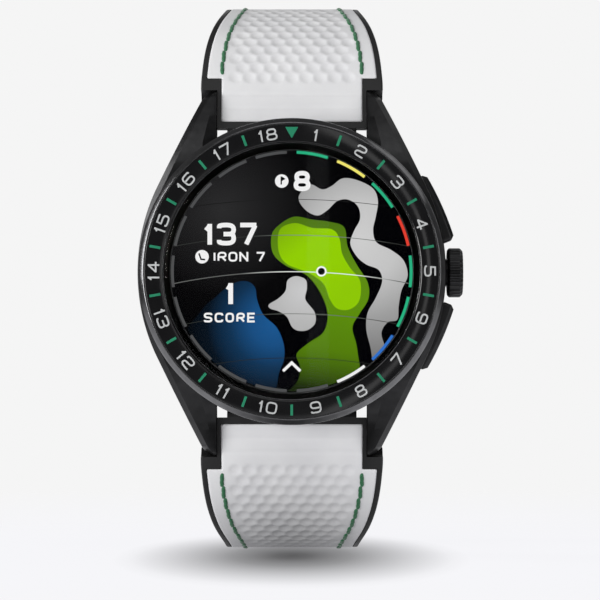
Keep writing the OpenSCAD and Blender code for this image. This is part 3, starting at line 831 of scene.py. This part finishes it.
def readouts():
    """The figures, words and small icons of the display."""
    glow("display_figures", linear(240, 240, 240))
    glow("display_discs", linear(240, 240, 240))
    glow("display_icons", linear(6, 7, 8))
    figures = []
    for text, height, width, gap, stroke, centre, thin_one in (
            ("137", 3.3, 2.75, 0.42, 0.66, (-8.85, 5.4), 0.55),
            ("8", 2.95, 2.45, 0, 0.66, (1.5, 13.1), 1),
            ("1", 3.35, 2.2, 0, 0.68, (-8.95, -3.2), 0.6),
            ("IRON 7", 1.42, 1.3, 0.28, 0.27, (-7.6, 2.12), 1),
            ("SCORE", 1.42, 1.24, 0.33, 0.29, (-8.98, -6.7), 1)):
        figures += lettering(text, height, width, gap, stroke, *layer(5), centre, thin_one)
    chevron = [(-1.25, -14.45), (0, -13.25), (1.25, -14.45)]
    lit("display_figures", [*figures, ribbon(chevron, 0.42, *layer(5))])
    ball = (4.3, 0)
    discs = [prism(circle(0.98, 40, spot), *layer(4)) for spot in ((-1.45, 13.1), (-13.0, 2.12))]
    lit("display_discs", [*discs, prism(circle(0.76, 40, ball), *layer(5))])
    pole = slab(rectangle((-1.62, 12.6), (-1.42, 13.75)), *layer(5), 0.001, 1)
    cloth = prism([(-1.42, 13.1), (-0.9, 13.42), (-1.42, 13.75)], *layer(5))
    club = ribbon([(-13.45, 2.6), (-13.15, 1.75), (-12.55, 1.7)], 0.22, *layer(5))
    lit("display_icons", [pole, cloth, club, prism(circle(0.5, 32, ball), *layer(6))])


# ---- crown and pushers ----


def crown():
    """A fluted knob with a stepped chamfer and a dished face."""
    profile = [(1, CROWN_IN - 0.65), (1.95, CROWN_IN - 0.65), (2.05, CROWN_IN), (CROWN_R - 0.32, CROWN_IN),
               (CROWN_R, CROWN_IN + 0.28), (CROWN_R, CROWN_OUT - 0.42), (CROWN_R - 0.42, CROWN_OUT),
               (2.5, CROWN_OUT), (2.35, CROWN_OUT - 0.12), (0, CROWN_OUT - 0.12), (0, CROWN_IN - 0.6)]
    shape = rounded(profile, [0, 0, 0, 0.08, 0.1, 0.1, 0.12, 0.05, 0.05, 0, 0], 3)
    flutes, per_flute = 28, 14
    segments = flutes * per_flute
    rings = []
    for radius, x in shape:
        ring = []
        deep = np.clip((radius - 2.9) / 0.5, 0, 1)
        for i in range(segments):
            turn = 2 * pi * i / segments
            groove = max(0.0, 1 - (abs((i / per_flute) % 1 - 0.5) / 0.3) ** 2)
            reach = radius - 0.26 * deep * sqrt(groove)
            ring.append((x, reach * cos(turn), reach * sin(turn)))
        rings.append(ring)
    knob = build("crown", on_axis(loft(rings, closed=True), 0), sharp=38)
    dress(knob, "case_black", "crown", replaces="crown_knob")


def pusher(side):
    """A long low button with a crowned face and chamfered edges, on its stem."""
    half, tall = PUSHER_LENGTH / 2, PUSHER_HEIGHT / 2
    outline = rounded(rectangle((-half, -tall), (half, tall)), 0.55, 4)
    lengths = []
    for a, b in zip(outline, np.roll(outline, -1, axis=0)):
        count = max(1, int(np.linalg.norm(b - a) / 0.4))
        lengths += [a + (b - a) * i / count for i in range(count)]
    outline = np.array(lengths)
    face = PUSHER_FACE - PUSHER_CROWN_R + np.sqrt(PUSHER_CROWN_R**2 - outline[:, 0] ** 2)
    rings = []
    for amount, depth in ((0.25, None), (0.05, None), (0.0, 0.62), (0.03, 0.5), (0.42, 0.06), (0.55, 0.0)):
        ring = inset(outline, amount)
        x = np.full(len(ring), 22.05 + (0.25 - amount) * 0.8) if depth is None else face - depth
        rings.append(np.column_stack([x, ring]))
    for squeeze in (0.6, 0.25, 0.0):
        ring = inset(outline, 0.55)
        rings.append(np.column_stack([face, ring[:, 0], ring[:, 1] * squeeze]))
    head = loft(rings, caps=False)
    base = (np.array(rings[0]), [list(range(len(rings[0])))[::-1]])
    stem = revolve([(0, 16.75), (0.95, 16.75), (1.05, 16.85), (1.05, 22.3), (0, 22.3)], 48, "x")
    name = "upper" if side > 0 else "lower"
    parts = [on_axis(part, side * PUSHER_ANGLE) for part in (head, base, stem)]
    button = build("pusher_" + name + "_button", *parts, sharp=30)
    dress(button, "case_black", "pusher_" + name, replaces="pusher_" + name)


# ---- strap ----


def smooth_lookup(turn, table):
    """A table looked up with its kinks rounded over a few degrees."""
    return float(np.mean(np.interp(turn + np.linspace(-3, 3, 7), *table)))


class StrapPath:
    """The outer line of one strap half at 12 o'clock, measured along its length from the lug end."""

    def __init__(self, half):
        lean = radians(LEAN)
        self.flat = FLAT[half]
        self.first_y = SHOULDER_Y - BEND_1 * sin(lean)
        self.first_z = STRAP_END[1] - (SHOULDER_Y - STRAP_END[0]) * tan(lean) - BEND_1 * cos(lean)
        self.second_y = self.first_y + BEND_1 - BEND_2
        self.straight = (SHOULDER_Y - STRAP_END[0]) / cos(lean)
        self.bend_1 = BEND_1 * radians(90 - LEAN)
        self.bend_2 = BEND_2 * pi / 2
        tail = self.second_y - TAIL_Y[half]
        self.length = self.straight + self.bend_1 + self.flat + self.bend_2 + tail

    def at(self, s):
        """(y, z, turn) at a length along the line."""
        lean = radians(LEAN)
        if s < self.straight:
            return STRAP_END[0] + s * cos(lean), STRAP_END[1] - s * sin(lean), LEAN
        s -= self.straight
        if s < self.bend_1:
            turn = lean + s / BEND_1
            return (self.first_y + BEND_1 * sin(turn), self.first_z + BEND_1 * cos(turn),
                    degrees(turn))
        s -= self.bend_1
        if s < self.flat:
            return self.first_y + BEND_1, self.first_z - s, 90
        s -= self.flat
        low = self.first_z - self.flat
        if s < self.bend_2:
            turn = pi / 2 + s / BEND_2
            return self.second_y + BEND_2 * sin(turn), low + BEND_2 * cos(turn), degrees(turn)
        return self.second_y - (s - self.bend_2), low - BEND_2, 180

    def length_at_y(self, y):
        """The length at which the straight start reaches y."""
        return (y - STRAP_END[0]) / cos(radians(LEAN))

    def length_at_turn(self, turn):
        if turn <= 90:
            return self.straight + BEND_1 * radians(turn - LEAN)
        return self.straight + self.bend_1 + self.flat + BEND_2 * radians(turn - 90)

    def spot(self, s, x, depth):
        """The point at a length along, x across and a depth below the outer line."""
        y, z, turn = self.at(s)
        t = radians(turn)
        return x, y - depth * sin(t), z - depth * cos(t)

    def half_width(self, s):
        return smooth_lookup(self.at(s)[2], HALF_WIDTH)


def strap_base(half):
    path = StrapPath(half)
    rings = []
    for s in np.linspace(0, path.length, 190):
        thick = float(np.interp(path.at(s)[2], *THICKNESS))
        ends = min(s, path.length - s)
        squeeze = 0.35 * max(0.0, 1 - ends / 0.5) ** 2
        wide = path.half_width(s) - squeeze
        section = rounded(rectangle((-wide, 0.03), (wide, thick - squeeze)), [0.32, 0.32, 0.7, 0.7], 4)
        rings.append([path.spot(s, x, depth + (squeeze if depth < 1 else 0)) for x, depth in section])
    base = build("strap_base_" + half, loft(rings))
    step = path.length_at_y(INLAY_STEP_Y)
    stop = path.length_at_turn(INLAY_STOP)
    play = 0.03
    spots = [(path.length_at_y(INLAY_START_Y) - play, INLAY_NARROW), (step - play, INLAY_NARROW)]
    spots += [(s, None) for s in [step - 0.02, *np.linspace(step + 0.5, stop + play, 110)]]
    recess = []
    for s, width in spots:
        wide = (width or path.half_width(s) - INLAY_MARGIN) + play
        recess.append([path.spot(s, x, depth) for x, depth in rectangle((-wide, -0.6), (wide, INLAY_T))])
    far, low, high = 20, -8, 12
    shoulder = [(14, low), (BAR_Y, low)]
    shoulder += [tuple(p) for p in circle(LUG_TIP_R + 0.2, 32, (BAR_Y, BAR_Z), -90, 90)]
    shoulder += [(BAR_Y, high), (14, high)]
    wall = WALL_Y + 0.1
    relief_turn = 156
    relief = [(10, low), (wall, low), (wall, BAR_Z)]
    relief += [tuple(p) for p in circle(BAR_Y - wall, 8, (BAR_Y, BAR_Z), 180, relief_turn)]
    lean_out = radians(relief_turn - 90)
    end = relief[-1]
    relief += [(end[0] + 9 * cos(lean_out), end[1] + 9 * sin(lean_out)), (10, 14)]
    seat = STRAP_X + 0.02
    bar_hole = circle(0.93, 40, (BAR_Y, BAR_Z))
    pin_slot = box_part((4.4, BAR_Y - 0.6, -2), (8.2, BAR_Y + 0.6, BAR_Z))
    cutters = [loft(recess), prism(shoulder, seat, far, "yz"), prism(shoulder, -far, -seat, "yz"),
               prism(relief, -far, far, "yz"), prism(bar_hole, -far, far, "yz"), pin_slot]
    for x in (CORNER[0], -far):
        cutters.append(box_part((x, 10, low), (x + far - CORNER[0], CORNER[1], high)))
    for part in cutters:
        cut(base, build("cutter", part))
    shade(base.data, 30)
    finish_strap(base, half, "strap_black", "base")


def finish_strap(obj, half, finish, node):
    """Dresses a piece of the strap. The 6 o'clock half is the 12 o'clock one mirrored."""
    if half == "6":
        for vertex in obj.data.vertices:
            vertex.co.z = -vertex.co.z
        obj.data.flip_normals()
    dress(obj, finish, "strap_" + half, replaces="strap_" + half + "_" + node)


def dimple_depth(path, s_values, x_values):
    """Depth of the golf-ball dimples at a grid of lengths and places across."""
    pitch, radius, deep = 2.1, 1.04, 0.19
    row = pitch * sqrt(3) / 2
    first = path.length_at_y(29.1)
    last = path.length_at_turn(INLAY_STOP) - 1.6
    depth = np.zeros((len(s_values), len(x_values[0])))
    rows = int((last - first) / row)
    for i, (s, across) in enumerate(zip(s_values, x_values)):
        nearest = int(round((s - first) / row))
        for k in range(max(0, nearest - 1), min(rows, nearest + 1) + 1):
            middle = first + k * row
            limit = path.half_width(middle) - STITCH_INSET - 1.15
            shift = (k % 2) * pitch / 2
            centre = np.round((across - shift) / pitch) * pitch + shift
            away = np.hypot(across - centre, s - middle) / radius
            bowl = np.clip(1 - away**2, 0, None) ** 1.15 * deep
            bowl[np.abs(centre) > limit] = 0
            depth[i] = np.maximum(depth[i], bowl)
    return depth


def round_off(radius, inward):
    """How far an edge rounded to a radius falls back, at a distance inward from it."""
    short = np.clip(radius - inward, 0, radius)
    return radius - np.sqrt(radius**2 - short**2)


def inlay_stations(start, step, stop):
    """Lengths along the inlay, closer together where its outline turns."""
    return np.concatenate([
        start + NEAR_EDGE, np.arange(start + 0.8, step - 0.65, 0.2), step - NEAR_EDGE[:0:-1],
        [step - 0.004], step + 0.004 + NEAR_EDGE, np.arange(step + 0.85, stop - 0.7, 0.21),
        stop - NEAR_EDGE[::-1]])


def inlay_row(half, points):
    """Places across a row from one edge to the other, closer together at both."""
    spread = np.linspace(-1, 1, points) * (half - 0.75)
    return np.concatenate([-half + NEAR_EDGE, spread, half - NEAR_EDGE[::-1]])


def strap_inlay(half):
    """The white inlay: rounded edges all round, square shoulders and hexagonally packed dimples."""
    path = StrapPath(half)
    start, step = path.length_at_y(INLAY_START_Y), path.length_at_y(INLAY_STEP_Y)
    stop = path.length_at_turn(INLAY_STOP)
    lengths = inlay_stations(start, step, stop)
    narrow, corner, fillet, blend_length = INLAY_NARROW, 0.4, 0.3, 4
    inner = inlay_row(narrow, 86)
    beyond = np.concatenate([NEAR_EDGE, [0.85, 1.15, 1.5]])
    rows_x, rows_edge = [], []
    for s in lengths:
        wide = narrow
        if s >= step:
            wide = path.half_width(s) - INLAY_MARGIN - round_off(corner, s - step)
        ends = min(s - start, stop - s)
        wide -= round_off(corner, ends)
        if s < step:
            x = np.concatenate([np.full(len(beyond), -narrow), inner, np.full(len(beyond), narrow)])
        else:
            spread = (wide - narrow) / (path.half_width(step) - INLAY_MARGIN - narrow)
            blend = min(1.0, (s - step) / blend_length)
            outer = wide - beyond * min(1.0, max(0.02, spread))
            x = (1 - blend) * np.concatenate([-outer, inner, outer[::-1]]) + blend * inlay_row(wide, 106)
        x = np.clip(np.maximum.accumulate(x), -wide, wide)
        edge = np.minimum(wide - np.abs(x), ends)
        if s >= step:
            beside = np.abs(x) - narrow
            edge = np.minimum(edge, np.where(beside > 0, s - step, np.hypot(beside, s - step)))
        rows_x.append(x)
        rows_edge.append(np.clip(edge, 0, None))
    depth = dimple_depth(path, lengths, rows_x)
    crease_depth, crease_width = 0.05, 0.35
    for crease in (24.3, 26.4):
        away = (lengths - path.length_at_y(crease)) / crease_width
        depth += crease_depth * np.exp(-(away**2))[:, None]
    top, bottom = [], []
    for s, x, edge, dip in zip(lengths, rows_x, rows_edge, depth):
        top.append([path.spot(s, a, d - 0.02) for a, d in zip(x, round_off(fillet, edge) + dip)])
        bottom.append([path.spot(s, a, INLAY_T - 0.02) for a in x])
    points, faces = loft(top, open_rings=True)
    under = len(points)
    faces += [[i + under for i in face[::-1]] for face in faces]
    grid = np.arange(under).reshape(len(lengths), -1)
    rim = np.concatenate([grid[0], grid[1:, -1], grid[-1, -2::-1], grid[-2:0:-1, 0]]).tolist()
    faces += [[a, a + under, b + under, b] for a, b in zip(rim, rim[1:] + rim[:1])]
    points = np.concatenate([points, np.reshape(bottom, (-1, 3))])
    inlay = build("strap_inlay_" + half, (points, faces), sharp=60)
    finish_strap(inlay, half, "strap_white", "inlay")


def stitch(path, s, side):
    """One stitch: a two-ply twisted strand that dips into the rubber at both ends."""
    length, radius, corners = 2.75, 0.33, 14
    rings = []
    for t in np.linspace(0, 1, 19):
        along = s + (t - 0.5) * length
        from_middle = 2 * t - 1
        x = side * (path.half_width(along) - STITCH_INSET + 0.13 * from_middle)
        depth = 0.08 + 0.2 * abs(from_middle) ** 6
        size = radius * (1 - 0.45 * abs(from_middle) ** 6)
        ring = []
        for j in range(corners):
            turn = 2 * pi * j / corners
            reach = size * (0.86 + 0.16 * abs(cos(turn - t * 9)))
            ring.append(path.spot(along, x + reach * cos(turn), depth - reach * sin(turn)))
        rings.append(ring)
    return loft(rings)


def strap_stitching(half):
    path = StrapPath(half)
    parts = []
    s = path.length_at_turn(34.2)
    stop = path.length_at_turn(INLAY_STOP) - 1.8
    while s < stop:
        parts += [stitch(path, s, -1), stitch(path, s, 1)]
        s += STITCH_STEP
    thread = build("strap_stitches_" + half, *parts, sharp=60)
    finish_strap(thread, half, "thread_green", "stitching")


# ---- clasp ----


def clasp_cover():
    """The CAD cover with rounded corners and a crowned outer face."""
    cover = frame["nodes"]["clasp_cover"].copy()
    cover.data = cover.data.copy()
    cover.name = "clasp_cover_shell"
    cover.parent = None
    for key in list(cover.keys()):
        del cover[key]
    bpy.context.scene.collection.objects.link(cover)
    low, high = COVER_LOW, COVER_HIGH
    corner_r, edge_r, crowning, beyond = 2.2, 0.45, 0.5, 1
    plate = slab(rounded(rectangle(low, high), corner_r, 6), low[2], high[2] + beyond, edge_r, 4)
    middle, half = (low[1] + high[1]) / 2, (high[1] - low[1]) / 2
    face = [(y, low[2] + crowning * ((y - middle) / half) ** 2)
            for y in np.linspace(low[1] - beyond, high[1] + beyond, 40)]
    face += [(high[1] + beyond, high[2] + beyond), (low[1] - beyond, high[2] + beyond)]
    crowned = prism(face, low[0] - beyond, high[0] + beyond, "yz")
    cut(cover, build("cutter", plate), build("cutter", crowned), operation="INTERSECT", sharp=28)
    dress(cover, "clasp_black", "strap_12", replaces="clasp_cover")


# ---- CAD nodes that keep their shape ----

SOFT_EDGES = {"clasp_blade_middle": 0.15, "clasp_blade_inner": 0.15,
              "clasp_button_right": 0.2, "clasp_button_left": 0.2, "case_back": 0.06,
              "sensor_window": 0.12, "main_board": 0.03, "inner_chassis": 0.05, "battery": 0.2,
              "speaker": 0.08, "vibration_motor": 0.1, "crown_switch": 0.05, "case_back_screws": 0.03}


def carried_nodes():
    """Gives every CAD node that still shows its slot's material, and softens the bigger ones' edges."""
    slots = {part["node"]: part["material_slot"] for part in frame["record"]["subparts"]}
    for node, obj in frame["nodes"].items():
        if obj.hide_render:
            continue
        obj.data.materials.clear()
        obj.data.materials.append(MATERIALS[slots[node]])
        if node in SOFT_EDGES:
            soften = obj.modifiers.new("soft_edges", "BEVEL")
            soften.width = SOFT_EDGES[node] * MM
            soften.segments = 2
            soften.limit_method = "ANGLE"
            soften.angle_limit = radians(40)
            soften.harden_normals = True


# ---- studio ----


def camera():
    """A long lens a little below the dial's middle, as a watch is shown standing on a table."""
    right, low, tilt, distance, wide, film = 1.2, -16.05, 1.43, 475, 86.8, 36
    view = bpy.data.cameras.new("camera")
    view.sensor_width = film
    view.lens = film * distance / wide
    view.clip_start, view.clip_end = 0.01, 50
    eye = add_object("camera", view)
    dial = node_box("bezel_insert")[1][2]
    eye.location = Vector((right, -dial - distance, low)) * MM
    eye.rotation_euler = (radians(90 + tilt), 0, 0)
    bpy.context.scene.camera = eye


# Name, place and size in metres, power in watts, and the point faced where it isn't the origin.
SOFTBOXES = [("top", (0, -0.35, 1.1), (1.2, 1.0), 1.8),
             ("front_left", (-0.95, -0.95, 0.04), (0.7, 0.6), 14.5),
             ("front_right", (1.0, -0.95, 0.06), (0.5, 0.6), 3.4),
             ("front_top", (0.1, -1.0, 0.85), (0.8, 0.5), 1.8),
             ("rim_right", (0.72, 0.34, 0.72), (0.5, 0.5), 0.5),
             ("rim_left", (-0.9, 0.1, 0.3), (0.2, 0.7), 4.5),
             ("behind_camera", (0.056, -1.3, 0.0), (0.05, 0.8), 0.13, (0.056, 0, 0)),
             ("behind", (0.3, 1.2, 0.6), (1.2, 0.8), 1.5)]


def softbox(name, place, size, power, target=(0, 0, 0)):
    light = bpy.data.lights.new(name, "AREA")
    light.shape = "RECTANGLE"
    light.size, light.size_y = size
    light.energy = power
    obj = add_object(name, light)
    obj.location = place
    obj.rotation_euler = (Vector(target) - Vector(place)).to_track_quat("-Z", "Y").to_euler()
    obj.visible_camera = False


def studio():
    """A dim grey room that the camera sees as a pale backdrop, and its softboxes."""
    world = bpy.data.worlds.new("studio")
    bpy.context.scene.world = world
    world.use_nodes = True
    tree = world.node_tree
    room = tree.nodes["Background"]
    connect(tree, room, {"Color": (0.5, 0.5, 0.505, 1), "Strength": 0.27})
    backdrop = add_node(tree, "Background", {"Color": linear(245, 245, 245)})
    seen = add_node(tree, "LightPath", {}).outputs["Is Camera Ray"]
    mix = add_node(tree, "MixShader", {"Fac": seen, 1: room, 2: backdrop})
    connect(tree, tree.nodes["World Output"], {"Surface": mix})
    for row in SOFTBOXES:
        softbox(*row)


def floor():
    """A pale, evenly glowing table top with a painted soft shadow under the watch, which fades out round
    it.
    """
    size, level = 2.5, cad_low.z
    mesh = bpy.data.meshes.new("floor")
    corners = [(x, y, level) for x, y in rectangle((-size, -size), (size, size))]
    mesh.from_pydata(corners, [], [(0, 1, 2, 3)])
    made = Finish("floor", (0.07, 0.07, 0.07, 1), Roughness=0.85, Emission_Strength=1.1,
                  Specular_IOR_Level=0.0)
    # Painted shadow: the floor's glow is darkened in a soft ellipse under the watch, not a shadow cast by
    # the lamps.
    centre = (0, -0.005, level)
    painted_shadow = made.node("VectorMath", {0: made.stretched((3, 1, 1)), 1: centre}, operation="DISTANCE")
    reach = made.span(painted_shadow.outputs["Value"], 0.0, 0.078, 0, 1)
    stops = [(0.0, 0.06), (0.1, 0.09), (0.34, 0.24), (0.7, 0.58), (0.9, 0.76), (1.0, 0.8)]
    made.set(Emission_Color=made.ramp(reach, *((place, grey(value)) for place, value in stops)))
    away = made.node("VectorMath", {0: made.place}, operation="LENGTH")
    fade = made.span(away.outputs["Value"], 0.08, 0.3, 0, 1)
    clear = made.node("BsdfTransparent", {})
    mix = made.node("MixShader", {"Fac": fade, 1: made.shader, 2: clear})
    connect(made.tree, made.tree.nodes["Material Output"], {"Surface": mix})
    mesh.materials.append(made.material)
    add_object("floor", mesh)


camera()
case_middle()
turned_pieces()
bezel_markings()
course_map()
progress_ring()
range_arcs()
readouts()
crown()
for side in (-1, 1):
    pusher(side)
for half in ("12", "6"):
    strap_base(half)
    strap_inlay(half)
    strap_stitching(half)
clasp_cover()
carried_nodes()
floor()
studio()
bpy.context.scene.view_settings.view_transform = "Standard"
